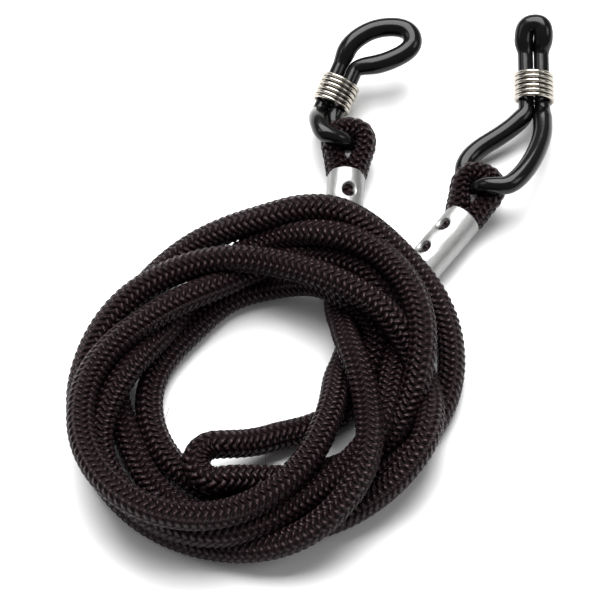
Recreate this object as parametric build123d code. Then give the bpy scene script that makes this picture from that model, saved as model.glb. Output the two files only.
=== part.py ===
from build123d import *
import math
import os

# Eyeglass retainer strap: a braided cord, folded in half and wound into a loose coil that
# lies on a flat surface. Each end of the cord is turned back into an eye and crimped in a
# sleeve. A rubber ring is threaded through each eye, and a close-wound wire coil slides
# along the ring's two legs to close the ring on a temple arm.
# Millimetres, +Z up. The surface is z = 0, and the origin is on it, under the middle of the
# box round the sleeves, rings and wire coils.

# ------------------------------------------------------------------ driving dimensions
cord_d = 4.2            # braided cord, where it isn't squeezed
eye_cord_d = 3.0        # the same cord, pulled flat round the rubber in an eye

sleeve_od = 6.0         # crimp sleeve
sleeve_wall = 0.6
sleeve_length = 13.0
crimp_hole_r = 1.05     # the two punched holes in one side of a sleeve
crimp_rim_r = 1.55      # where the punch has sunk the wall round a hole
crimp_from_mouth = 4.0
crimp_pitch = 5.2
sleeve_edge_round = 0.2

rubber_d = 2.5          # rubber ring's strand
leg_gap = 0.06          # between a ring's two legs where the wire coil holds them
wire_d = 0.65           # sliding wire coil
wire_pitch = 0.8
wire_turns = 6

eye_reach = 5.2         # sleeve mouth to the middle of the eye's round end
eye_tilt = 16.0         # degrees that an eye rises from its sleeve
coil_height = 10.0      # the cord's coil, at its thickest
coil_bevel = 1.5        # bevel round the top and bottom of the coil's outer shape

# ------------------------------------------------------------------ named clearances
eye_clearance = 0.3     # rubber ring to the cord of its eye, all round
coil_clearance = 0.12   # wire coil's inside to the ring's legs
pocket_clearance = 0.3  # sleeve to the cord that lies over it

# ------------------------------------------------------------------ how it all lies
# Every place below is on one layout whose middle is moved to the origin at the end.
layout_middle = (20.9, 24.7)
coil_middle = (-5.5, -14.0)
# radius of the coil's outside and of its open middle, every 30 degrees from +X
coil_outside = (31.5, 29.7, 28.4, 27.7, 26.5, 26.7, 29.9, 33.8, 33.3, 31.6, 30.0, 29.0)
coil_inside = (9.7, 12.3, 15.3, 15.1, 14.6, 15.1, 15.8, 17.7, 13.8, 10.2, 9.4, 10.2)

# An end: the middle of its sleeve's mouth, the headings (degrees from +X) of its sleeve, of
# its eye and of its wire coil, the roll of the crimp holes from the top, the middle of the
# wire coil, its rise, and the wire coil's travel towards the eye and towards the tip.
# The ring's upper strand leaves the eye at upper_heading, over the cord, and its lower
# strand at lower_heading, under it. Each list is the ring's corners on the way.
end_a = dict(
    mouth=(7.4, 21.1), sleeve_heading=86.0, eye_heading=86.0, hole_roll=14.0,
    slider=(5.8, 35.9, 4.4), slider_heading=65.6, slider_rise=15.6, travel=(0.5, 1.5),
    upper_heading=166.0, lower_heading=125.0, upper_leg=-1,
    upper=[(1.9, 26.7, 7.5), (2.2, 30.2, 5.7)],
    lower=[],
    temple=[(8.0, 44.9, 7.0), (12.8, 47.0, 7.9), (18.6, 46.4, 8.4), (18.9, 42.6, 8.1),
            (13.6, 40.2, 7.0)],
)
end_b = dict(
    mouth=(25.9, 13.1), sleeve_heading=53.0, eye_heading=64.5, hole_roll=-30.0,
    slider=(37.7, 36.4, 5.2), slider_heading=90.0, slider_rise=15.0, travel=(0.5, 2.5),
    upper_heading=-5.5, lower_heading=119.5, upper_leg=1,
    upper=[(33.1, 16.2, 7.8), (36.4, 20.5, 7.0), (38.8, 27.0, 5.2)],
    lower=[(25.9, 22.6, 2.2), (27.6, 26.0, 2.3), (33.3, 29.4, 3.2)],
    temple=[(39.9, 44.5, 9.2), (39.0, 47.1, 9.6), (36.4, 47.3, 8.2), (35.2, 44.7, 6.6)],
)

# ------------------------------------------------------------------ worked-out sizes
sleeve_r = sleeve_od / 2
bore_r = sleeve_r - sleeve_wall
rubber_r = rubber_d / 2
eye_r = rubber_r + eye_clearance + eye_cord_d / 2   # eye's centre line round its middle
leg_offset = rubber_r + leg_gap / 2
slider_inside_r = leg_offset + rubber_r + coil_clearance
slider_r = slider_inside_r + wire_d / 2
slider_length = wire_pitch * wire_turns
straight_extra = 0.2    # straight leg beyond the wire coil's travel
leg_corner = 1.3        # from there to the ring's next corner
leg_start = 1.45        # eye's legs, beyond the sleeve's mouth
leg_flare = 2.0         # from there the legs spread, up to this short of the eye's middle
leg_overlap = 0.3       # how far the legs' outsides are squeezed at the sleeve's mouth
punch_depth = 2.4       # through the sleeve's wall, either way
tangent_share = 0.45    # of a bend's shorter run that the bend takes up


def heading(degrees, rise=0.0):
    """Unit vector at a heading from +X and a rise from level, both in degrees."""
    flat = math.cos(math.radians(rise))
    return Vector(flat * math.cos(math.radians(degrees)),
                  flat * math.sin(math.radians(degrees)),
                  math.sin(math.radians(rise)))


def bend_radii(points):
    """Radius of each corner: a tangent is 0.45 of the corner's shorter run."""
    radii = []
    for before, here, after in zip(points, points[1:], points[2:]):
        run_in = here - before
        run_out = after - here
        half_turn = math.radians(run_in.get_angle(run_out) / 2)
        tangent = tangent_share * min(run_in.length, run_out.length)
        radii.append(tangent / math.tan(half_turn))
    return radii


def tube_along(path, radius):
    """Round bar along a wire: one piece for each straight run and each arc, joined."""
    pieces = []
    for edge in path.edges():
        section = Plane(origin=edge @ 0, z_dir=edge % 0) * Circle(radius)
        pieces.append(sweep(section, path=Wire([edge])))
    return pieces[0].fuse(*pieces[1:])


def end_frames(end):
    """Sleeve's axis and plane, and the eye's middle, axis, side and normal."""
    mouth = Vector(*end["mouth"], sleeve_r)
    axis = heading(end["sleeve_heading"])
    eye_axis = heading(end["eye_heading"], eye_tilt)
    side = heading(end["eye_heading"] - 90)
    normal = side.cross(eye_axis)
    middle = mouth + eye_axis * eye_reach
    return mouth, axis, middle, eye_axis, side, normal


def make_sleeve(end):
    """Tube with two punched holes in a row, each with a sunk rim."""
    mouth, axis, *_ = end_frames(end)
    foot = mouth - axis * sleeve_length
    base = Plane(origin=foot, x_dir=Vector(0, 0, 1).rotate(Axis((0, 0, 0), axis), end["hole_roll"]),
                 z_dir=axis)
    tube = Cylinder(sleeve_r, sleeve_length, align=(Align.CENTER, Align.CENTER, Align.MIN))
    tube = fillet(tube.edges().filter_by(GeomType.CIRCLE), sleeve_edge_round)
    tube -= Cylinder(bore_r, sleeve_length, align=(Align.CENTER, Align.CENTER, Align.MIN))
    for along in (crimp_from_mouth, crimp_from_mouth + crimp_pitch):
        at = Pos(sleeve_r, 0, sleeve_length - along) * Rot(0, 90, 0)
        tube -= at * Cylinder(crimp_hole_r, punch_depth)
        tube -= at * Cone(crimp_hole_r, crimp_rim_r, sleeve_wall,
                          align=(Align.CENTER, Align.CENTER, Align.MAX))
    return base * tube


def make_eye(end):
    """Cord turned back on itself: a flared U, and the part squeezed in the sleeve."""
    mouth, axis, _, eye_axis, side, _ = end_frames(end)
    inner = bore_r - eye_cord_d / 2 + leg_overlap
    flare = eye_reach - leg_flare

    def at(along, across):
        return mouth + eye_axis * along + side * across

    def leg(sign):
        route = [at(leg_start, sign * inner), at(flare, sign * eye_r), at(eye_reach, sign * eye_r)]
        return FilletPolyline(*route, radius=bend_radii(route))

    crown = ThreePointArc(at(eye_reach, -eye_r), at(eye_reach + eye_r, 0), at(eye_reach, eye_r))
    loop = tube_along(Wire(leg(-1).edges() + crown.edges() + leg(1).edges()), eye_cord_d / 2)
    squeezed = Plane(origin=mouth - axis * sleeve_length, z_dir=axis) * Cylinder(
        bore_r, sleeve_length + 2 * leg_start, align=(Align.CENTER, Align.CENTER, Align.MIN))
    return loop + squeezed


def slider_frame(end):
    """Wire coil's middle, its axis towards the tip, and the level direction across it."""
    middle = Vector(*end["slider"])
    axis = heading(end["slider_heading"], end["slider_rise"])
    across = heading(end["slider_heading"] - 90)
    return middle, axis, across


def make_ring(end):
    """Rubber ring: through the eye, along the wire coil's two legs, and round its tip."""
    _, _, middle, eye_axis, side, normal = end_frames(end)
    slider, along, across = slider_frame(end)
    towards_eye, towards_tip = end["travel"]

    def in_eye_plane(degrees):
        turn = math.radians(degrees - end["eye_heading"])
        return eye_axis * math.cos(turn) - side * math.sin(turn)

    def quarter(direction, rise):
        """Quarter turn from the eye's middle to lie over (1) or under (-1) the cord."""
        centre = middle + direction * eye_r
        halfway = centre + (normal * rise - direction) * (eye_r / math.sqrt(2))
        finish = centre + normal * (rise * eye_r)
        return ThreePointArc(middle, halfway, finish), finish

    def leg_corners(sign):
        near = slider_length / 2 + towards_eye + straight_extra + leg_corner
        far = slider_length / 2 + towards_tip + straight_extra + leg_corner
        aside = slider + across * (sign * leg_offset)
        return aside - along * near, aside + along * far

    over, over_end = quarter(in_eye_plane(end["upper_heading"]), 1)
    under, under_end = quarter(in_eye_plane(end["lower_heading"]), -1)
    upper_near, upper_far = leg_corners(end["upper_leg"])
    lower_near, lower_far = leg_corners(-end["upper_leg"])
    route = [over_end]
    route += [Vector(*p) for p in end["upper"]]
    route += [upper_near, upper_far]
    route += [Vector(*p) for p in end["temple"]]
    route += [lower_far, lower_near]
    route += [Vector(*p) for p in reversed(end["lower"])]
    route += [under_end]
    radii = bend_radii(route)
    for corner in (upper_near, upper_far, lower_near, lower_far):
        here = route.index(corner)
        run_in, run_out = route[here] - route[here - 1], route[here + 1] - route[here]
        half_turn = math.radians(run_in.get_angle(run_out) / 2)
        radii[here - 1] = min(radii[here - 1], leg_corner / math.tan(half_turn))
    print("ring's bend radii", [round(r, 1) for r in radii])
    body = tube_along(FilletPolyline(*route, radius=radii), rubber_r)
    return body + tube_along(over, rubber_r) + tube_along(under, rubber_r)


def make_slider(end):
    """Close-wound wire coil round the ring's two legs."""
    middle, along, across = slider_frame(end)
    path = Helix(wire_pitch, slider_length, slider_r)
    wire = sweep(Plane(origin=path @ 0, z_dir=path % 0) * Circle(wire_d / 2), path=path,
                 is_frenet=True)
    return Plane(origin=middle - along * (slider_length / 2), x_dir=across, z_dir=along) * wire


def make_coil(pockets):
    """Outer shape of the whole coil, with a pocket for each sleeve that it lies over."""
    def ring_line(radii):
        step = 360 / len(radii)
        points = [Vector(*coil_middle) + heading(step * k) * r for k, r in enumerate(radii)]
        return Spline(*points, periodic=True)

    band = make_face(ring_line(coil_outside)) - make_face(ring_line(coil_inside))
    body = extrude(band, coil_height)
    levels = body.edges().group_by(Axis.Z)
    body = chamfer(levels[0] + levels[-1], coil_bevel)
    for mouth, axis in pockets:
        foot = mouth - axis * sleeve_length
        body -= Plane(origin=foot, z_dir=axis) * Cylinder(
            sleeve_r + pocket_clearance, sleeve_length, align=(Align.CENTER, Align.CENTER, Align.MIN))
    return body


nodes = {}
for letter, end in (("a", end_a), ("b", end_b)):
    nodes["crimp_sleeve_" + letter] = make_sleeve(end)
    nodes["cord_eye_" + letter] = make_eye(end)
    nodes["rubber_ring_" + letter] = make_ring(end)
    nodes["wire_slider_" + letter] = make_slider(end)
nodes["cord_coil"] = make_coil([end_frames(end)[:2] for end in (end_a, end_b)])

os.makedirs("parts", exist_ok=True)
for name, shape in nodes.items():
    placed = Pos(-layout_middle[0], -layout_middle[1], 0) * shape
    export_step(placed, f"parts/{name}.step")
    box = placed.bounding_box()
    print(f"{name:16s} {placed.volume:9.1f} mm3  {box.min}  {box.max}")
for letter, end in (("a", end_a), ("b", end_b)):
    _, _, middle, _, _, normal = end_frames(end)
    slider, along, _ = slider_frame(end)
    hinge = middle - Vector(*layout_middle)
    print(f"ring {letter}: hinge at {hinge}, about {normal}; slider along {along}")
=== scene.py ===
# %% [markdown]
# # Eyeglass retainer strap
#
# A braided cord folded in half and wound into a loose coil. Each end of the cord is turned
# back into an eye and crimped in an aluminium sleeve. A rubber ring is threaded through each
# eye, and a wire coil slides along the ring's two legs.
#
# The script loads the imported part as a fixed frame, hides the plain solids of the soft pieces
# and of the wire and tube, and builds each of them again with its real surface. Sizes are in
# millimetres on the part's own layout, and `metres` turns them into the frame.

# %% Frame, libraries and the size of the part
import math

import bpy
import numpy as np
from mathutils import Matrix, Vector


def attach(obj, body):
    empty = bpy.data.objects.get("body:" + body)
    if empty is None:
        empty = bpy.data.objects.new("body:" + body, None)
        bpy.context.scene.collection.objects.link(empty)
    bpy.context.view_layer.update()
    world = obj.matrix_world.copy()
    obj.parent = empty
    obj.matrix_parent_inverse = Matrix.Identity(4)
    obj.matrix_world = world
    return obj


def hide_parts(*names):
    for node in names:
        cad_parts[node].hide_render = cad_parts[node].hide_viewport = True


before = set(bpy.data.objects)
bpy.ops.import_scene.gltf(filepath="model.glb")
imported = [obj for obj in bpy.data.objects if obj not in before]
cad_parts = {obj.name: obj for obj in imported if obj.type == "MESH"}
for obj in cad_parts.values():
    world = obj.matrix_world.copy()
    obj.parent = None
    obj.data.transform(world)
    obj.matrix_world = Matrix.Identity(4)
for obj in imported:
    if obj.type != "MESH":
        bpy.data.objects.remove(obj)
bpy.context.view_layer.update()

LAYOUT_MIDDLE = np.array([20.9, 24.7, 0.0])     # mm, where the frame's origin lies
MM = 0.001
rng = np.random.default_rng(7)


def metres(points):
    """Points of the layout, in millimetres, as metres in the frame."""
    return (np.asarray(points, float) - LAYOUT_MIDDLE) * MM


# %% [markdown]
# ## Surfaces
#
# Every piece here is a tube or a turned shape, so each could be a bevelled curve, a skinned
# chain or a grid of points. A grid of points is used for all: rows follow a path and columns
# go round it. It takes any section, it carries UV in real millimetres for the braid, and its
# relief is one formula.

# %% Helpers for lines and grids
def unit(vectors):
    """Vectors, or one vector, at length 1."""
    return vectors / np.linalg.norm(vectors, axis=-1, keepdims=True)


def heading(degrees, rise=0.0):
    """Unit vector at a heading from +X and a rise from level, both in degrees."""
    turn, climb = math.radians(degrees), math.radians(rise)
    return np.array([math.cos(climb) * math.cos(turn), math.cos(climb) * math.sin(turn),
                     math.sin(climb)])


def spline_line(name, points, closed=False, resolution=12):
    """Points along the order 3 NURBS spline that has a route's points as control points."""
    curve = bpy.data.curves.new(name, "CURVE")
    curve.dimensions = "3D"
    spline = curve.splines.new("NURBS")
    spline.points.add(len(points) - 1)
    spline.points.foreach_set("co", np.c_[points, np.ones(len(points))].ravel())
    spline.order_u = 3
    spline.use_endpoint_u = not closed
    spline.use_cyclic_u = closed
    spline.resolution_u = resolution
    holder = bpy.data.objects.new(name, curve)
    mesh = bpy.data.meshes.new_from_object(holder)
    line = np.empty(len(mesh.vertices) * 3)
    mesh.vertices.foreach_get("co", line)
    bpy.data.objects.remove(holder)
    bpy.data.curves.remove(curve)
    bpy.data.meshes.remove(mesh)
    return line.reshape(-1, 3)


def evenly(line, count, closed=False):
    """The same line at equal steps, and the distance along it at each point."""
    if closed:
        line = np.vstack([line, line[:1]])
    along = np.r_[0, np.cumsum(np.linalg.norm(np.diff(line, axis=0), axis=1))]
    wanted = np.linspace(0, along[-1], count + 1 if closed else count)
    points = np.stack([np.interp(wanted, along, line[:, k]) for k in range(3)], 1)
    return (points[:-1], wanted) if closed else (points, wanted)


def across_directions(path, first=None, closed=False):
    """Tangents of a path, and two directions across it that turn as little as they can."""
    if closed:
        tangent = unit(np.roll(path, -1, 0) - np.roll(path, 1, 0))
    else:
        tangent = unit(np.gradient(path, axis=0))
    side = np.empty_like(path)
    start = np.cross(tangent[0], (0.0, 0.0, 1.0)) if first is None else np.asarray(first)
    side[0] = unit(start - tangent[0] * (start @ tangent[0]))
    for k in range(1, len(path)):
        carried = side[k - 1] - tangent[k] * (side[k - 1] @ tangent[k])
        side[k] = unit(carried)
    if closed:
        carried = side[-1] - tangent[0] * (side[-1] @ tangent[0])
        gap = math.atan2(np.cross(carried, side[0]) @ tangent[0], carried @ side[0])
        turn = np.linspace(0, gap, len(path))[:, None]
        side = side * np.cos(turn) + np.cross(tangent, side) * np.sin(turn)
    return tangent, side, np.cross(tangent, side)


def grid_mesh(name, points, v, rows_closed=False):
    """Mesh of a grid of points whose columns close round. Each point is joined to the next in
    its row and in its column. U is 0 to 1 round it, and v is given for each row. Open ends are
    closed with one flat face each."""
    rows, columns, _ = points.shape
    i = np.arange(rows if rows_closed else rows - 1)[:, None]
    j = np.arange(columns)[None, :]
    after_i, after_j = (i + 1) % rows, (j + 1) % columns
    corners = [i * columns + j, i * columns + after_j, after_i * columns + after_j,
               after_i * columns + j]
    faces = np.stack(corners, -1).reshape(-1, 4).tolist()
    u0, u1 = np.broadcast_arrays(j / columns, (j + 1) / columns + 0 * i)
    v0, v1 = np.broadcast_arrays(v[i], v[i + 1] + 0 * j)
    uv = np.stack([u0, v0, u1, v0, u1, v1, u0, v1], -1).reshape(-1, 2)
    if not rows_closed:
        faces.append(list(range(columns))[::-1])
        faces.append(list(range((rows - 1) * columns, rows * columns)))
        uv = np.vstack([uv, np.zeros((2 * columns, 2))])
    mesh = bpy.data.meshes.new(name)
    mesh.from_pydata(points.reshape(-1, 3).tolist(), [], faces)
    mesh.uv_layers.new(name="UVMap").data.foreach_set("uv", uv.astype(np.float32).ravel())
    mesh.shade_smooth()
    obj = bpy.data.objects.new(name, mesh)
    bpy.context.scene.collection.objects.link(obj)
    return obj


def tube(name, path, v, radius, columns, first=None, closed=False, flat=1.0, twist=0.0):
    """Tube round a path: point = path + side r cos(turn) + other flat r sin(turn). radius is a
    number, one for each row, or a grid; flat scales the second direction; twist is in radians
    for each mm."""
    _, side, other = across_directions(path, first, closed)
    turn = np.arange(columns)[None, :] * (2 * math.pi / columns)
    turn = turn + (twist * v[:len(path)] / MM)[:, None]
    radius = np.broadcast_to(np.asarray(radius, float).reshape(
        (-1, 1) if np.ndim(radius) == 1 else np.shape(radius)), (len(path), columns))
    flat = np.broadcast_to(np.asarray(flat, float).reshape(-1, 1), (len(path), 1))
    points = (path[:, None] + (radius * np.cos(turn))[..., None] * side[:, None]
              + (radius * flat * np.sin(turn))[..., None] * other[:, None])
    return grid_mesh(name, points, v / MM, closed)


def place(obj, body, slot, material, *nodes):
    """Gives a new piece its material and its body, and hides the CAD nodes that it replaces. slot is
    not used.
    """
    obj.data.materials.clear()
    obj.data.materials.append(material)
    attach(obj, body)
    if nodes:
        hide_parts(*nodes)
    corners = np.array(obj.bound_box)
    low, high = corners.min(0), corners.max(0)
    print(obj.name, "from", (low / MM).round(1), "to", (high / MM).round(1))


# %% [markdown]
# ## The braid
#
# Round the cord the braid's stitches stand in upright columns. Those of one column lean one
# way and those of the next the other way, so that they meet in a row of Vs. A picture of it,
# real interlaced yarns or a height formula could make it. The formula is used, once in numpy
# for the surface's relief and once in shader nodes for what is finer than the mesh.

# %% Braid sizes and relief
BRAID_COLUMNS = 10
STITCH = 1.10        # mm from one stitch to the next along the cord
LEAN = 0.42          # of a stitch, across its column
REACH = 0.82         # of a column's width, from a stitch's middle to its end
COIL_RELIEF = 0.288  # mm from the bottom of a groove to the top of a stitch, in the coil
EYE_RELIEF = 0.24    # the same in the eyes, where the cord is drawn tight


def braid_height(u, v):
    """Height, 0 to 1, the higher of two sets of stitches. With c = u BRAID_COLUMNS, set n (0 or
    1) is centred on c = n + 0.5 + 2 m. With x from the nearest centre and
    y = v / STITCH + n / 2 + (-1)^n LEAN x, less its nearest whole number, a stitch is
    (1 - (x / REACH)^2)(1 - 4 y^2)."""
    height = 0.0
    for n in (0, 1):
        x = (u * BRAID_COLUMNS - n - 0.5) / 2
        x = 2 * (x - np.round(x))
        y = v / STITCH + n / 2 + (1 - 2 * n) * LEAN * x
        y = y - np.round(y)
        height = np.maximum(height, (1 - (x / REACH) ** 2) * (1 - 4 * y * y))
    return height


# %% [markdown]
# ## Materials
#
# A finish can come from a picture or from nodes. All here are nodes, on the piece's UV or on
# object coordinates, so that they hold at any distance. A small class keeps the calls short.

# %% Node helpers
class Nodes:
    """A new node material, with short calls to add nodes and join them."""

    def __init__(self, name):
        """An empty node material with its Principled shader."""
        self.material = bpy.data.materials.new(name)
        self.material.use_nodes = True
        self.tree = self.material.node_tree
        self.shader = self.tree.nodes["Principled BSDF"]

    def add(self, kind, **settings):
        """A node of a kind, with its settings; a value that is a socket is linked."""
        node = self.tree.nodes.new("ShaderNode" + kind)
        inputs = settings.pop("inputs", {})
        for key, value in settings.items():
            setattr(node, key, value)
        for key, value in inputs.items():
            self.give(node.inputs[key], value)
        return node

    def give(self, socket, value):
        """Links a socket to another, or sets its constant."""
        if isinstance(value, bpy.types.NodeSocket):
            self.tree.links.new(value, socket)
        else:
            socket.default_value = value

    def maths(self, operation, *values):
        """The result of a sum on numbers or sockets."""
        node = self.add("Math", operation=operation)
        for socket, value in zip(node.inputs, values):
            self.give(socket, value)
        return node.outputs[0]

    def between(self, factor, low, high):
        """A number from low to high as the factor goes from 0 to 1."""
        node = self.add("MapRange", inputs={"Value": factor, "To Min": low, "To Max": high})
        return node.outputs["Result"]

    def colours(self, factor, low, high):
        """A colour from low to high as the factor goes from 0 to 1."""
        node = self.add("Mix", data_type="RGBA")
        self.give(node.inputs[0], factor)
        self.give(node.inputs[6], (*low, 1.0))
        self.give(node.inputs[7], (*high, 1.0))
        return node.outputs[2]

    def surface(self, **values):
        """Sets or links the surface's inputs. An underscore in a name stands for a space."""
        for key, value in values.items():
            if isinstance(value, tuple) and len(value) == 3:
                value = (*value, 1.0)
            self.give(self.shader.inputs[key.replace("_", " ")], value)


# %% [markdown]
# ## Finish of the cord
#
# The yarn is black nylon with a brown cast. Its colour could be one dark value, but then the
# stitches would vanish. So the braid's formula comes back in nodes: a highlight is painted on
# the top of a stitch, which is also glossier, and shade is painted in the groove at its edge,
# which is also dull, and a bump rounds it more finely than the mesh can. Fine waves across a
# stitch are its yarns, and rare pale specks are lint.

# %% Braided cord
LINT = (0.45, 0.40, 0.38, 1.0)
YARNS = 25.1         # radians of wave for each stitch, four yarns


def cord_material():
    """Black braid. Height is the higher of two sets of stitches, as in braid_height, with x
    and y of each set taken back to -1 to 1 and -0.5 to 0.5 by their fractions."""
    n = Nodes("braided_cord")
    uv = n.add("SeparateXYZ", inputs={0: n.add("UVMap", uv_map="UVMap").outputs[0]})
    sets = []
    for odd in (0, 1):
        x = n.maths("MULTIPLY_ADD", uv.outputs[0], BRAID_COLUMNS / 2, -(odd + 0.5) / 2 + 0.5)
        x = n.maths("MULTIPLY_ADD", n.maths("FRACT", x), 2.0, -1.0)
        y = n.maths("MULTIPLY_ADD", uv.outputs[1], 1 / STITCH, odd / 2 + 0.5)
        y = n.maths("MULTIPLY_ADD", x, (1 - 2 * odd) * LEAN, y)
        y = n.maths("SUBTRACT", n.maths("FRACT", y), 0.5)
        hump_x = n.maths("MULTIPLY_ADD", n.maths("MULTIPLY", x, x), -1 / REACH ** 2, 1.0)
        hump_y = n.maths("MULTIPLY_ADD", n.maths("MULTIPLY", y, y), -4.0, 1.0)
        sets.append(n.maths("MULTIPLY", n.maths("MAXIMUM", hump_x, 0.0), hump_y))
    height = n.maths("MAXIMUM", sets[0], sets[1])
    # the yarns' waves run across the second set's stitches
    yarn_waves = n.maths("MULTIPLY", n.maths("SINE", n.maths("MULTIPLY", y, YARNS)), 0.03)
    where = n.add("TexCoord").outputs["Object"]
    patches = n.add("TexNoise", inputs={"Vector": where, "Scale": 900.0, "Detail": 3.0})
    patch = patches.outputs["Fac"]
    specks = n.add("TexVoronoi", inputs={"Vector": where, "Scale": 420.0})
    pick = n.add("SeparateXYZ", inputs={0: specks.outputs["Color"]})
    speck = n.maths("MULTIPLY", n.maths("GREATER_THAN", pick.outputs[0], 0.985),
                    n.maths("LESS_THAN", specks.outputs["Distance"], 0.10))
    # painted shade and highlight: the colour darkens into the grooves between stitches and lightens
    # on their tops, varied by random patches; the same factor sets the roughness
    painted_shade_highlight_and_patches = n.maths("MULTIPLY", n.maths("POWER", height, 1.6), n.between(patch, 0.55, 1.25))
    colour = n.colours(painted_shade_highlight_and_patches, (0.0006, 0.0003, 0.0004), (0.009, 0.003, 0.004))
    colour = n.add("Mix", data_type="RGBA", inputs={0: speck, 6: colour, 7: LINT})
    bump = n.add("Bump", inputs={"Strength": 1.0, "Distance": 0.60 * MM,
                                 "Height": n.maths("ADD", height, yarn_waves)})
    n.surface(Base_Color=colour.outputs[2], Roughness=n.between(painted_shade_highlight_and_patches, 0.6, 0.17),
              Normal=bump.outputs[0], Sheen_Weight=0.01, Sheen_Roughness=0.4)
    n.surface(Sheen_Tint=(0.5, 0.35, 0.38), Specular_IOR_Level=0.27,
              Specular_Tint=(1.0, 0.75, 0.80))
    return n.material


# %% [markdown]
# ## Finish of the rubber
#
# The rings are dipped black rubber: glossy, a little uneven, with fine dust. Slow waves in
# the bump bend the highlights, and a much finer noise sets how sharp they are.

# %% Rubber
def rubber_material():
    """Black rubber with a thin clear skin."""
    n = Nodes("ring_rubber")
    where = n.add("TexCoord").outputs["Object"]
    waves = n.add("TexNoise", inputs={"Vector": where, "Scale": 350.0, "Detail": 2.0})
    dust = n.add("TexNoise", inputs={"Vector": where, "Scale": 2600.0, "Detail": 4.0})
    bump = n.add("Bump", inputs={"Strength": 0.12, "Distance": 0.3 * MM,
                                 "Height": waves.outputs["Fac"]})
    n.surface(Base_Color=n.colours(dust.outputs["Fac"], (0.0015, 0.0015, 0.0015),
                                   (0.004, 0.004, 0.004)),
              Roughness=n.between(dust.outputs["Fac"], 0.12, 0.24), Normal=bump.outputs[0],
              Specular_IOR_Level=0.22, Coat_Weight=0.12, Coat_Roughness=0.12)
    return n.material


# %% [markdown]
# ## Finish of the metals
#
# The sleeves are drawn aluminium tube, tumbled and crimped: lines along the tube, a sandy
# grain and shallow dents. The lines are noise on the UV, squeezed round the tube, and the
# rest is noise on object coordinates. The wire is plated and bright, with a warm stain.

# %% Aluminium and plated wire
def sleeve_material():
    """Aluminium. Height is 0.6 lines + 0.35 grain + 1.2 dents."""
    n = Nodes("sleeve_aluminium")
    uv = n.add("SeparateXYZ", inputs={0: n.add("UVMap", uv_map="UVMap").outputs[0]})
    stretched = n.add("CombineXYZ", inputs={0: n.maths("MULTIPLY", uv.outputs[0], 60.0),
                                            1: n.maths("MULTIPLY", uv.outputs[1], 0.35)})
    drawn = n.add("TexNoise", inputs={"Vector": stretched.outputs[0], "Scale": 2.0, "Detail": 5.0})
    where = n.add("TexCoord").outputs["Object"]
    grain = n.add("TexNoise", inputs={"Vector": where, "Scale": 5200.0, "Detail": 3.0})
    dents = n.add("TexNoise", inputs={"Vector": where, "Scale": 500.0, "Detail": 2.0})
    height = n.maths("ADD", n.maths("MULTIPLY", drawn.outputs["Fac"], 0.6),
                     n.maths("ADD", n.maths("MULTIPLY", grain.outputs["Fac"], 0.35),
                             n.maths("MULTIPLY", dents.outputs["Fac"], 1.2)))
    bump = n.add("Bump", inputs={"Strength": 0.6, "Distance": 0.08 * MM, "Height": height})
    n.surface(Base_Color=n.colours(drawn.outputs["Fac"], (0.28, 0.28, 0.28), (0.44, 0.44, 0.435)),
              Metallic=1.0, Roughness=n.between(grain.outputs["Fac"], 0.32, 0.55),
              Normal=bump.outputs[0])
    return n.material


def wire_material():
    """Nickel plate, stained unevenly."""
    n = Nodes("plated_wire")
    where = n.add("TexCoord").outputs["Object"]
    stain = n.add("TexNoise", inputs={"Vector": where, "Scale": 900.0, "Detail": 3.0})
    n.surface(Base_Color=n.colours(stain.outputs["Fac"], (0.34, 0.31, 0.27), (0.58, 0.55, 0.49)),
              Metallic=1.0, Roughness=n.between(stain.outputs["Fac"], 0.12, 0.26))
    return n.material


# %% [markdown]
# ## Finish of the board
#
# A white board, with a cloud of very slightly different white, since no board is even.

# %% White board, and all materials
def floor_material():
    """Smooth white board."""
    n = Nodes("white_board")
    where = n.add("TexCoord").outputs["Object"]
    cloud = n.add("TexNoise", inputs={"Vector": where, "Scale": 14.0, "Detail": 2.0})
    n.surface(Base_Color=n.colours(cloud.outputs["Fac"], (0.90, 0.90, 0.90), (0.93, 0.93, 0.93)),
              Roughness=0.35, Specular_IOR_Level=0.35)
    return n.material


braided = cord_material()
rubber = rubber_material()
aluminium = sleeve_material()
plated = wire_material()
print("materials", [m.name for m in (braided, rubber, aluminium, plated)])

# %% [markdown]
# ## Camera, floor and light
#
# The camera looks down at 60 degrees from the coil's side, through a long lens. The strap
# lies on a white board, under a large soft light from behind and above.

# %% Camera, floor, lights
CAMERA_DISTANCE = 0.520
BOARD_HALF = 1.6

scene = bpy.context.scene
target = metres([0.0, 0.0, 0.0])
camera = bpy.data.objects.new("camera", bpy.data.cameras.new("camera"))
camera.location = Vector(target) + CAMERA_DISTANCE * Vector(-heading(90, -60))
camera.rotation_mode = "QUATERNION"
camera.rotation_quaternion = (Vector(target) - camera.location).to_track_quat("-Z", "Y")
camera.data.sensor_width = 36.0
camera.data.lens = 198.7
camera.data.clip_start = 0.02
scene.collection.objects.link(camera)
scene.camera = camera

board_mesh = bpy.data.meshes.new("board")
board_corners = [(BOARD_HALF * x, BOARD_HALF * y, 0) for x, y in ((-1, -1), (1, -1), (1, 1), (-1, 1))]
board_mesh.from_pydata(board_corners, [], [(0, 1, 2, 3)])
board = bpy.data.objects.new("board", board_mesh)
board.data.materials.append(floor_material())
scene.collection.objects.link(board)


def area_light(name, at, size, watts):
    """A square soft light at a place, turned towards the strap."""
    data = bpy.data.lights.new(name, "AREA")
    data.size = size
    data.energy = watts
    light = bpy.data.objects.new(name, data)
    light.location = at
    light.rotation_mode = "QUATERNION"
    light.rotation_quaternion = (LIT_PLACE - Vector(at)).to_track_quat("-Z", "Y")
    scene.collection.objects.link(light)


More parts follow.
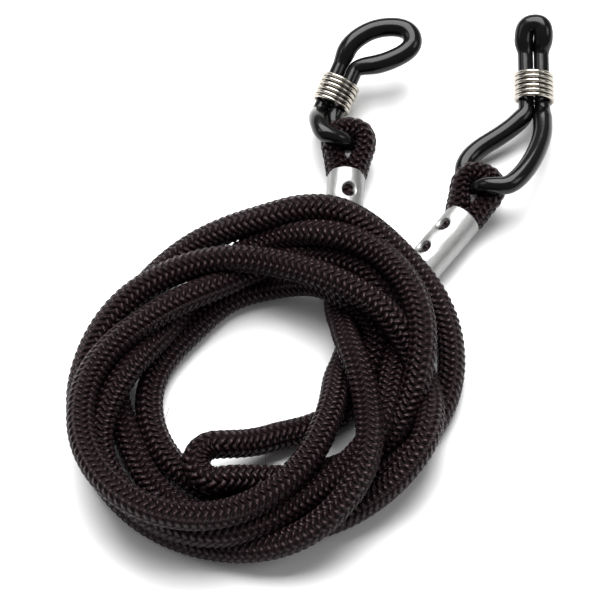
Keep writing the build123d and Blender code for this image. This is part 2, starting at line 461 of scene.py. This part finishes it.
LIT_PLACE = Vector((-0.02, -0.02, 0.0))
area_light("key", (-0.08, 0.36, 0.64), 0.75, 14.5)
area_light("left", (-0.60, 0.10, 0.45), 0.30, 0.5)
area_light("right", (0.55, -0.10, 0.50), 0.30, 0.8)
world = bpy.data.worlds.new("room")
world.use_nodes = True
world.node_tree.nodes["Background"].inputs["Color"].default_value = (1, 1, 1, 1)
world.node_tree.nodes["Background"].inputs["Strength"].default_value = 0.24
scene.world = world
scene.view_settings.view_transform = "Standard"
print("camera at", tuple(round(c, 4) for c in camera.location))

# %% [markdown]
# ## The cord's route
#
# The cord leaves sleeve A, makes three turns, folds back on itself and makes two turns to
# sleeve B. Its turns are loop-made points on angles round the coil's middle, with a radius
# and a height for every 24 degrees: loose turns differ in size, cross, and dive under one
# another. A simulated rope could settle into such a pile, but not into this one, so the
# order of the crossings is given, and a short contact relaxation in numpy then pushes turns
# that touch apart and lets the rest sink towards the board.

# %% Turns of the cord
CORD_D = 4.2
SLEEVE_LENGTH = 13.0
COIL_MIDDLE = np.array([-5.5, -14.0])
SLEEVE_FOOT = dict(a=(6.49, 8.13, 3.0), b=(18.08, 2.72, 3.0))
SLEEVE_HEADING = dict(a=86.0, b=53.0)

turns_a = dict(
    first=42.0,
    radius=[15.5, 13.5, 14.5, 18.5, 25.5, 30, 30.5, 31, 30, 28.5, 25, 21.5, 18.5, 16.5, 15.5,
            16.5, 20, 24, 27.5, 27.5, 27.5, 27, 26.5, 23.8, 23.4, 24, 24, 24.5, 24, 27, 27.7,
            29, 28, 25.6, 25.3, 23.5, 22.5, 21.5, 20, 18.2, 16.4, 15.4, 15.7, 16.5, 17, 17, 19,
            15.5, 13.5, 12, 11.5, 13.5],
    height=[2.5, 5, 6.5, 6.5, 8.5, 5.5, 2, 2, 2, 2.5, 5.5, 6, 6.5, 7, 8.5, 9.5, 8, 2.5, 5.5,
            3, 2, 2, 2, 2, 2, 2, 2, 3, 6.5, 9, 6.5, 3.5, 2, 2, 2, 2, 2, 2, 2, 2, 2, 2, 2, 2,
            4, 6, 4, 2, 2, 2, 2.5, 3.5],
)
turns_b = dict(
    first=18.0,
    radius=[13.5, 11.5, 12.5, 15.5, 21.5, 28, 32, 31, 26.5, 19.5, 16, 15.5, 18, 21, 22.5, 21.5,
            20, 21.5, 22, 25, 30, 31, 29, 21, 16, 15.5, 18, 22, 23, 25, 25, 24, 22.5, 20, 19],
    height=[2, 2.5, 4.5, 6, 6.5, 6.5, 8, 7, 6.5, 6.5, 6, 5, 3.5, 5, 6.5, 3.5, 3.5, 4, 4.5, 6,
            5.5, 4.5, 5, 5, 3, 2, 2, 4.5, 9, 9, 9, 7, 3, 2, 2],
)
start_a = [SLEEVE_FOOT["a"], (6.31, 5.54, 3.0), (5.95, 0.9, 2.2)]
start_b = [SLEEVE_FOOT["b"], (17.55, 2.3, 2.6), (14.86, -0.01, 2.2), (12.17, -2.65, 2.1),
           (9.49, -5.88, 2.1), (7.44, -9.62, 2.1)]
fold = dict(middle=(-12.6, -31.25, 4.9), radius=3.3, first=75.0, last=305.0)


def turn_points(first, radius, height, step=24.0, between=2):
    """Points of the turns, clockwise from the first angle. Radius and height follow their
    values for every step through a cubic, with one more point between each two."""
    values = np.stack([radius, height], 1).astype(float)
    ends = np.vstack([2 * values[0] - values[1], values, 2 * values[-1] - values[-2]])
    t = np.arange(0, 1, 1 / between)[:, None, None]
    p0, p1, p2, p3 = ends[:-3], ends[1:-2], ends[2:-1], ends[3:]
    eased = 0.5 * (2 * p1 + (p2 - p0) * t + (2 * p0 - 5 * p1 + 4 * p2 - p3) * t ** 2
                   + (3 * p1 - p0 - 3 * p2 + p3) * t ** 3)
    eased = np.vstack([eased.transpose(1, 0, 2).reshape(-1, 2), values[-1:]])
    angle = np.radians(first - step / between * np.arange(len(eased)))
    flat = COIL_MIDDLE + eased[:, :1] * np.stack([np.cos(angle), np.sin(angle)], 1)
    return np.c_[flat, eased[:, 1]]


def fold_points(middle, radius, first, last, count=7):
    """Points of the fold: most of a circle, from one leg to the other."""
    angle = np.radians(np.linspace(first, last, count))
    ring = np.stack([np.cos(angle), np.sin(angle), 0 * angle], 1)
    return np.array(middle) + radius * ring


# %% [markdown]
# ## How the turns settle
#
# The route gives each turn its own height, but soft cords that cross also lean on each other.
# A rigid body simulation of a chain could find that, at the price of the given crossings. Here
# the turns are only pushed apart where they are nearer than they can be, by the points' own
# share, and then drawn back a little towards the route, a few hundred times.

# %% Contact relaxation
CONTACT = 3.8        # mm between the middles of turns that press on each other
SLANT = 0.577        # mm towards the near side for each mm up
TUBE_CLEARANCE = 4.8  # mm from a sleeve's axis to a turn's middle


def closest(points, i, j):
    """Where two segments of a chain come nearest, and the vector and distance between."""
    p, q = points[i], points[j]
    d1, d2 = points[i + 1] - p, points[j + 1] - q
    r = p - q
    a, e, b = (d1 * d1).sum(1), (d2 * d2).sum(1), (d1 * d2).sum(1)
    f, c = (d2 * r).sum(1), (d1 * r).sum(1)
    parallel = np.maximum(a * e - b * b, 1e-9)
    s = np.clip((b * f - c * e) / parallel, 0, 1)
    t = np.clip((b * s + f) / e, 0, 1)
    s = np.clip((b * t - c) / a, 0, 1)
    apart = (p + s[:, None] * d1) - (q + t[:, None] * d2)
    return s, t, apart, np.linalg.norm(apart, axis=1)


def settle(route, tubes, steps=400, held=3, same_turn=7.0, sink=0.03, give=0.9, smooth=0.35,
           pull=0.03):
    """The route after turns that touch have pushed each other apart and the rest has sunk.
    Each step sinks all points by up to sink, moves the four points of two segments that are
    nearer than CONTACT apart by give times what is missing, keeps clear of the tubes, evens
    out the moves of neighbours, and pulls back by pull times the move. A turn that is lifted
    also slides to the coil's near side by SLANT. Segments nearer than same_turn along the
    cord don't press on each other, and the first and last held points stay."""
    points, count = route.copy(), len(route)
    step_length = np.linalg.norm(np.diff(route, axis=0), axis=1)
    along = np.r_[0, np.cumsum(step_length)]
    i, j = np.triu_indices(count - 1, k=2)
    far = along[j] - along[i + 1] > same_turn
    i, j = i[far], j[far]
    free = np.arange(count)
    free = (free >= held) & (free < count - held)
    for step in range(steps):
        if step < 0.8 * steps:
            points[:, 2] -= sink * (1 - step / steps)
        s, t, apart, distance = closest(points, i, j)
        hit = distance < CONTACT
        push, weight = np.zeros_like(points), np.zeros(count)
        reach = apart[hit] / np.maximum(distance[hit], 1e-6)[:, None]
        reach = reach * ((CONTACT - distance[hit]) / 2)[:, None]
        for index, share, sign in ((i[hit], 1 - s[hit], 1), (i[hit] + 1, s[hit], 1),
                                   (j[hit], 1 - t[hit], -1), (j[hit] + 1, t[hit], -1)):
            np.add.at(push, index, sign * reach * share[:, None])
            np.add.at(weight, index, share)
        points += give * push / np.maximum(weight, 1)[:, None]
        for foot, axis in tubes:
            nearest = foot + np.clip((points - foot) @ axis, 0, SLEEVE_LENGTH)[:, None] * axis
            away = points - nearest
            gap = np.linalg.norm(away, axis=1)
            close = (gap < TUBE_CLEARANCE) & free
            points[close] += away[close] * (TUBE_CLEARANCE / gap[close] - 1)[:, None]
        moved = points - route
        moved[1:-1] += smooth * ((moved[:-2] + moved[2:]) / 2 - moved[1:-1])
        moved[:, 0] *= 1 - pull
        moved[:, 1] -= pull * (moved[:, 1] + SLANT * moved[:, 2])
        points = route + moved
        points[:, 2] = np.maximum(points[:, 2], CORD_D / 2)
        points[~free] = route[~free]
    return points


sleeve_tubes = [(np.array(SLEEVE_FOOT[end]), heading(SLEEVE_HEADING[end])) for end in "ab"]
route = np.vstack([start_a, turn_points(**turns_a), fold_points(**fold),
                   turn_points(**turns_b)[::-1], start_b[::-1]])
route = settle(route, sleeve_tubes)
cord_line = spline_line("cord_route", metres(route))
cord_length = np.linalg.norm(np.diff(cord_line, axis=0), axis=1).sum()
print(len(route), "points, cord", round(cord_length, 4), "m, top at", route[:, 2].max().round(1))

# %% [markdown]
# ## The cord
#
# The cord could be a bevelled curve, but that has no stitches. It is a tube of rings along the
# spline: three rings to a stitch and four columns of vertices to a column of the braid, so
# that the relief is the same on every stitch. Its middle lies at the cord's own radius.

# %% Cord
RINGS_PER_STITCH = 3
COLUMNS_PER_STITCH = 4
GROOVE_DEPTH = 0.14  # mm from the cord's radius to the bottom of a groove
CORD_TWIST = 0.012   # radians for each mm, which a coiled cord keeps

stitches = round(cord_length / MM / STITCH)
rings = RINGS_PER_STITCH * stitches + 1
cord_path, cord_v = evenly(cord_line, rings)
cord_v_braid = cord_v * (stitches * STITCH * MM / cord_length)
columns = COLUMNS_PER_STITCH * BRAID_COLUMNS
relief = braid_height(np.arange(columns)[None] / columns, (cord_v_braid / MM)[:, None])
cord_radius = (CORD_D / 2 - GROOVE_DEPTH + COIL_RELIEF * relief) * MM
cord = tube("cord_braid", cord_path, cord_v_braid, cord_radius, columns, twist=CORD_TWIST)
place(cord, "strap", "braided_cord", braided, "cord_coil")

# %% [markdown]
# ## The two ends
#
# Each end's places are those of the part: a sleeve, an eye that rises from it, a wire coil
# and the corners of the rubber ring. Both ends have the same pieces in other places, so one
# table holds the places and the functions after it make the pieces of either end.

# %% Layout of the ends
EYE_R = 3.05
EYE_REACH = 5.2
EYE_TILT = 16.0
SLEEVE_R, BORE_R = 3.0, 2.4
LEG_OFFSET = 1.28
WIRE_D, WIRE_PITCH, WIRE_TURNS, WIRE_R = 0.62, 0.8, 6, 2.975

ends = {
    "a": dict(
        mouth=(7.4, 21.1), sleeve_heading=SLEEVE_HEADING["a"], eye_heading=86.0, hole_roll=14.0,
        slider=(5.8, 35.9, 4.4), slider_heading=65.6, slider_rise=15.6, far=5.4, travel=1.5,
        upper_heading=166.0, lower_heading=125.0, upper_leg=-1,
        upper=[(3.6, 26.3, 7.6), (2.9, 29.3, 6.6)],
        lower=[],
        temple=[(8.2, 44.0, 7.3), (12.4, 46.4, 8.1), (17.6, 46.0, 8.5), (18.6, 42.4, 8.0),
                (13.6, 40.1, 6.8)]),
    "b": dict(
        mouth=(25.9, 13.1), sleeve_heading=SLEEVE_HEADING["b"], eye_heading=64.5, hole_roll=-30.0,
        slider=(37.7, 36.4, 5.2), slider_heading=90.0, slider_rise=15.0, far=6.4, travel=2.5,
        upper_heading=-5.5, lower_heading=119.5, upper_leg=1,
        upper=[(33.1, 16.2, 7.8), (36.4, 20.5, 7.0), (38.8, 27.0, 5.2)],
        lower=[(25.9, 22.6, 2.2), (27.6, 26.0, 2.3), (33.3, 29.4, 3.2)],
        temple=[(39.4, 44.0, 8.7), (39.1, 46.1, 9.6), (36.5, 46.3, 8.9), (36.1, 44.0, 7.6)]),
}


def eye_frame(end):
    """Sleeve's mouth and axis; the eye's middle, axis, side and normal."""
    mouth = np.array([*end["mouth"], SLEEVE_R])
    eye_axis = heading(end["eye_heading"], EYE_TILT)
    side = heading(end["eye_heading"] - 90)
    return (mouth, heading(end["sleeve_heading"]), mouth + eye_axis * EYE_REACH, eye_axis, side,
            np.cross(side, eye_axis))


# %% [markdown]
# ## Sleeves
#
# A piece of tube whose lips are broken round, with two holes that a punch has driven through
# the wall into the cord. A boolean could cut the holes, but a punch also draws the wall down
# round them, so the wall's radius is a formula of the distance to the nearest hole.

# %% Crimp sleeves
LIP = 0.22
HOLES_FROM_MOUTH = (4.0, 9.2)
HOLE_R, HOLE_EDGE = 1.32, 0.30
DENT, DENT_REACH = 0.36, 1.75


def make_sleeve(letter, end):
    """Turned tube. At a distance d from a hole's middle the wall sinks by
    DENT exp(-(d / DENT_REACH)^2), and over HOLE_EDGE inside HOLE_R by 1 mm more on an S
    curve, under the cord that fills the bore. Angles start from the top."""
    mouth, axis, *_ = eye_frame(end)
    z = np.r_[np.linspace(0, LIP, 6), np.linspace(LIP, SLEEVE_LENGTH - LIP, 104)[1:-1],
              np.linspace(SLEEVE_LENGTH - LIP, SLEEVE_LENGTH, 6)]
    near_end = np.clip(LIP - np.minimum(z, SLEEVE_LENGTH - z), 0, LIP)
    outer = SLEEVE_R - LIP + np.sqrt(np.maximum(LIP ** 2 - near_end ** 2, 0))
    count = 144
    turn = np.arange(count) * 2 * math.pi / count
    sunk = np.zeros((len(z), count))
    roll = math.radians(end["hole_roll"])
    round_it = (turn - roll + math.pi) % (2 * math.pi) - math.pi
    for from_mouth in HOLES_FROM_MOUTH:
        distance = np.hypot(z[:, None] - (SLEEVE_LENGTH - from_mouth), SLEEVE_R * round_it[None])
        inside = np.clip((HOLE_R - distance) / HOLE_EDGE, 0, 1)
        sunk += DENT * np.exp(-(distance / DENT_REACH) ** 2) + inside ** 2 * (3 - 2 * inside)
    outer_grid = outer[:, None] - sunk
    inner_grid = np.minimum(BORE_R - 0.02, outer_grid - 0.02)
    all_z = np.r_[z, z[::-1]]
    all_r = np.vstack([outer_grid, inner_grid[::-1]])
    up = np.array([0.0, 0.0, 1.0])
    foot = mouth - axis * SLEEVE_LENGTH
    points = (foot + all_z[:, None, None] * axis
              + all_r[..., None] * (np.cos(turn)[:, None] * up + np.sin(turn)[:, None]
                                    * np.cross(axis, up)))
    v = np.r_[all_z, all_z[-1:]]
    obj = grid_mesh("sleeve_" + letter, metres(points), v, rows_closed=True)
    place(obj, "strap", "sleeve_aluminium", aluminium, "crimp_sleeve_" + letter)


# %% [markdown]
# ## Eyes of the cord
#
# The cord's end goes round the rubber and back into the sleeve, drawn flat and thin there by
# the crimp. It could be one tube with the coil, but it is a piece of its own, because its
# girth changes. A short straight core fills the bore, and shows in the punched holes.

# %% Eyes
EYE_STEPS = 6        # rows to a stitch, and columns to a column of the braid
CORE_R = 2.12


def make_eye(letter, end):
    """A U from inside the sleeve, round the rubber and back. At o mm from its nearer end its
    radius is 1.05 + 0.68 ramp(o from 4.8 to 6.4) - 0.20 ramp(o from 8 to 10), plus the
    relief, and it is up to 1.15 times as high as it is wide."""
    mouth, axis, _, eye_axis, side, _ = eye_frame(end)
    corners = [(-6.0, -1.1, 0), (-3.0, -1.1, 0), (-0.6, -1.15, 0), (0.8, -1.5, 1),
               (2.5, -1.85, 1), (4.3, -2.6, 1), (6.1, -2.8, 1), (7.5, -2.1, 1), (8.0, -0.75, 1)]
    corners = corners + [(a, -b, c) for a, b, c in reversed(corners)]
    route = [mouth + (eye_axis if risen else axis) * along + side * aside
             for along, aside, risen in corners]
    line = spline_line("eye_route", metres(route))
    length = np.linalg.norm(np.diff(line, axis=0), axis=1).sum() / MM
    rows = EYE_STEPS * round(length / STITCH) + 1
    path, along = evenly(line, rows)
    count = EYE_STEPS * BRAID_COLUMNS
    relief = braid_height(np.arange(count)[None] / count, (along / MM)[:, None])
    out = np.minimum(along, along[-1] - along) / MM
    girth = 1.15 + 0.68 * np.clip((out - 4.8) / 1.6, 0, 1) - 0.20 * np.clip((out - 8) / 2, 0, 1)
    radius = (girth[:, None] - 0.1 + EYE_RELIEF * relief) * MM
    flat = 1.0 + 0.15 * np.clip((out - 4.8) / 2.5, 0, 1)
    eye = tube("eye_braid_" + letter, path, along, radius, count, first=side, flat=flat)
    place(eye, "strap", "braided_cord", braided, "cord_eye_" + letter)
    core_path, core_v = evenly(metres([mouth - axis * 12.9, mouth - axis * 0.3]), 79)
    relief = braid_height(np.arange(count)[None] / count, (core_v / MM)[:, None])
    core_radius = (CORE_R + EYE_RELIEF * relief) * MM
    core = tube("cord_core_" + letter, core_path, core_v, core_radius, count)
    place(core, "strap", "braided_cord", braided)


# %% [markdown]
# ## Rubber rings
#
# A ring is one moulded loop of round rubber. Where it passes through the eye and the wire
# coil it is squeezed thinner than where it is free. It is a tube on a closed spline, because
# its section stays round, and its radius eases between the two.

# %% Rubber rings
RUBBER_R, RUBBER_SWELL = 1.25, 0.32
SWELL_FROM_WIRE, SWELL_FROM_EYE = 3.0, 3.0


def ring_route(end):
    """Corners of the rubber ring: over the eye's cord, along the wire coil, round, and back."""
    _, _, middle, eye_axis, side, normal = eye_frame(end)
    slider = np.array(end["slider"])
    along = heading(end["slider_heading"], end["slider_rise"])
    beside = heading(end["slider_heading"] - 90)

    def quarter(degrees, rise):
        """Three control points from the eye's middle to over (1) or under (-1) its cord."""
        turn = math.radians(degrees - end["eye_heading"])
        out = eye_axis * math.cos(turn) - side * math.sin(turn)
        around = [out * (1 - math.cos(t) * 1.04) + normal * (rise * math.sin(t) * 1.04)
                  for t in np.radians([32, 60])]
        return [middle + EYE_R * p for p in around] + [middle + EYE_R * (out + rise * normal)]

    def leg(sign):
        """Control points of the straight leg on one side of the wire coil's middle."""
        aside = slider + beside * (sign * LEG_OFFSET)
        return [aside + along * at for at in (-4.4, -2.9, 0.0, end["far"] - 1.5, end["far"])]

    over, under = quarter(end["upper_heading"], 1), quarter(end["lower_heading"], -1)
    upper, lower = leg(end["upper_leg"]), leg(-end["upper_leg"])
    return np.array([middle, *over, *end["upper"], *upper, *end["temple"], *lower[::-1],
                     *end["lower"][::-1], *under[::-1]])


def make_ring(letter, end):
    """Rubber ring, RUBBER_R in the eye and as far as the wire coil travels, and thicker by up
    to RUBBER_SWELL where it is free, on an S curve over 2.5 mm from the wire and 4 mm from
    the eye."""
    line = spline_line("ring_route", metres(ring_route(end)), closed=True)
    path, along = evenly(line, 420, closed=True)
    slider = metres(end["slider"])
    axis = heading(end["slider_heading"], end["slider_rise"])
    past = (path - slider) @ axis / MM
    from_slider = np.maximum(past - end["travel"], -past)
    near = np.linalg.norm(path - slider, axis=1) / MM < 9.0
    from_eye = np.linalg.norm(path - metres(eye_frame(end)[2]), axis=1) / MM
    past_wire = np.where(near, np.clip((from_slider - SWELL_FROM_WIRE) / 2.5, 0, 1), 1)
    swell = np.minimum(past_wire, np.clip((from_eye - SWELL_FROM_EYE) / 4.0, 0, 1))
    swell = swell * swell * (3 - 2 * swell)
    radius = (RUBBER_R + RUBBER_SWELL * swell) * MM
    obj = tube("ring_rubber_" + letter, path, along, radius, 32, closed=True)
    place(obj, "ring_" + letter, "ring_rubber", rubber, "rubber_ring_" + letter)


# %% [markdown]
# ## Wire coils
#
# Six turns of plated wire, wound close on a round bar. Screw and array modifiers could repeat
# one turn, but real turns are never quite equal, and the helix formula takes that in.

# %% Wire coils, and both ends
def make_wire(letter, end):
    """Helix round the ring's legs. At t turns from its middle it is t WIRE_PITCH
    (1 - 0.004 t^2) along, so the last turns lie closer, and its radius is
    WIRE_R + 0.03 sin(2.1 t). It starts and ends below the legs."""
    middle = np.array(end["slider"])
    along = heading(end["slider_heading"], end["slider_rise"])
    beside = heading(end["slider_heading"] - 90)
    above = np.cross(beside, along)
    turns = np.linspace(-WIRE_TURNS / 2, WIRE_TURNS / 2, 72 * WIRE_TURNS)
    angle = (turns * 2 * math.pi - math.pi / 2)[:, None]
    radius = WIRE_R + 0.03 * np.sin(turns * 2.1)[:, None]
    path = (middle + along * (turns * WIRE_PITCH * (1 - 0.004 * turns ** 2))[:, None]
            + radius * (np.cos(angle) * beside + np.sin(angle) * above))
    path, v = evenly(metres(path), len(turns))
    obj = tube("wire_coil_" + letter, path, v, WIRE_D / 2 * MM, 20)
    place(obj, "slider_" + letter, "plated_wire", plated, "wire_slider_" + letter)


for letter, end in ends.items():
    make_sleeve(letter, end)
    make_eye(letter, end)
    make_ring(letter, end)
    make_wire(letter, end)

# %% [markdown]
# ## Loose fibres
#
# A few fine fibres stand off the braid. Particle hair could make them, but these are so few
# that each is its own short tube, started on the cord's surface.

# %% Loose fibres
FIBRES = 26
FIBRE_R = 0.035
_, fibre_side, fibre_other = across_directions(cord_path)
for number in range(FIBRES):
    row = int(rng.integers(60, len(cord_path) - 60))
    turn = rng.uniform(0, 2 * math.pi)
    out = fibre_side[row] * math.cos(turn) + fibre_other[row] * math.sin(turn)
    if out[2] < 0.1:
        out = -out
    run = unit(cord_path[row + 1] - cord_path[row])
    start = cord_path[row] + out * 1.9 * MM
    length = rng.uniform(1.2, 4.0) * MM
    lean_to = run * rng.uniform(-1, 1) + np.cross(run, out) * rng.uniform(-1, 1)
    steps = [0.0, 0.35, 0.7, 1.0]
    bend = [start + out * length * 0.35 * s + lean_to * length * s * s for s in steps]
    path, v = evenly(spline_line("fibre_route", np.array(bend), resolution=4), 9)
    fibre = tube(f"loose_fibre_{number:02d}", path, v, FIBRE_R * MM, 5)
    place(fibre, "strap", "braided_cord", braided)
